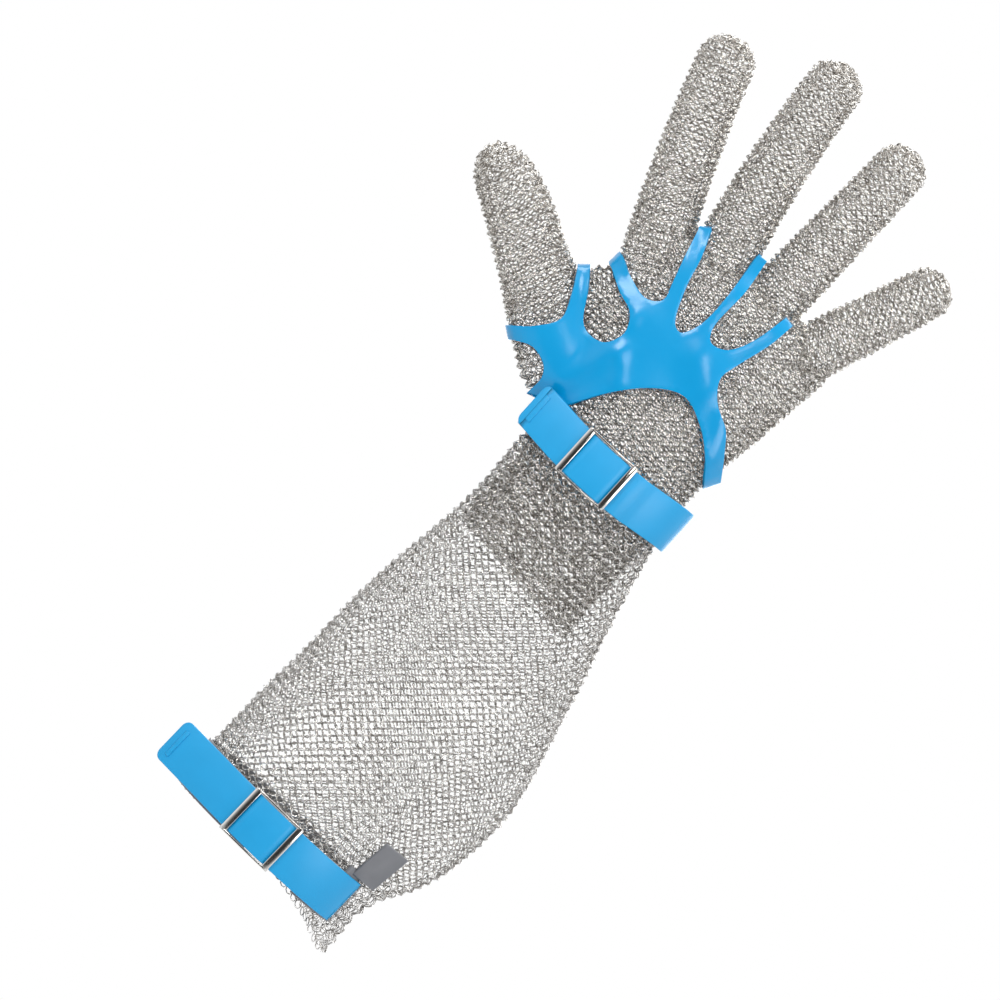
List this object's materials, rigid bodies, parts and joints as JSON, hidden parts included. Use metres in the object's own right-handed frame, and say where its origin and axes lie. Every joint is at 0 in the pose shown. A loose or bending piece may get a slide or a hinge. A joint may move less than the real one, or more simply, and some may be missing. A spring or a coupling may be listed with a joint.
{
  "type": "chain mail glove with long cuff",
  "caption": "Protective glove of welded steel rings in its worn form, with a long loose forearm cuff, a star-shaped tensioner over the hand and buckled straps at wrist and forearm.",
  "frame": {"origin": "centre of the cuff's mouth, where the arm goes in, at the height of the hem", "axes": "+Z along the cuff from its mouth towards the fingers, +X towards the little finger, -Y out of the back of the hand"},
  "size_m": [0.1918, 0.0778, 0.4133],
  "materials": {
    "fine_mail": "welded stainless rings, closely set",
    "coarse_mail": "welded stainless rings, openly set",
    "tensioner_sheet": "glossy elastic polyurethane",
    "strap": "satin polyurethane",
    "buckle_steel": "polished stainless steel",
    "band": "smooth dark grey plastic"
  },
  "bodies": {
    "root": {"mail_hand": "fine_mail", "mail_thumb": "fine_mail", "mail_index_finger": "fine_mail", "mail_middle_finger": "fine_mail", "mail_ring_finger": "fine_mail", "mail_little_finger": "fine_mail", "mail_cuff": "coarse_mail", "tensioner": "tensioner_sheet", "wrist_strap": "strap", "wrist_buckle": "buckle_steel", "cuff_strap": "strap", "cuff_buckle": "buckle_steel", "cuff_band": "band"}
  },
  "joints": []
}
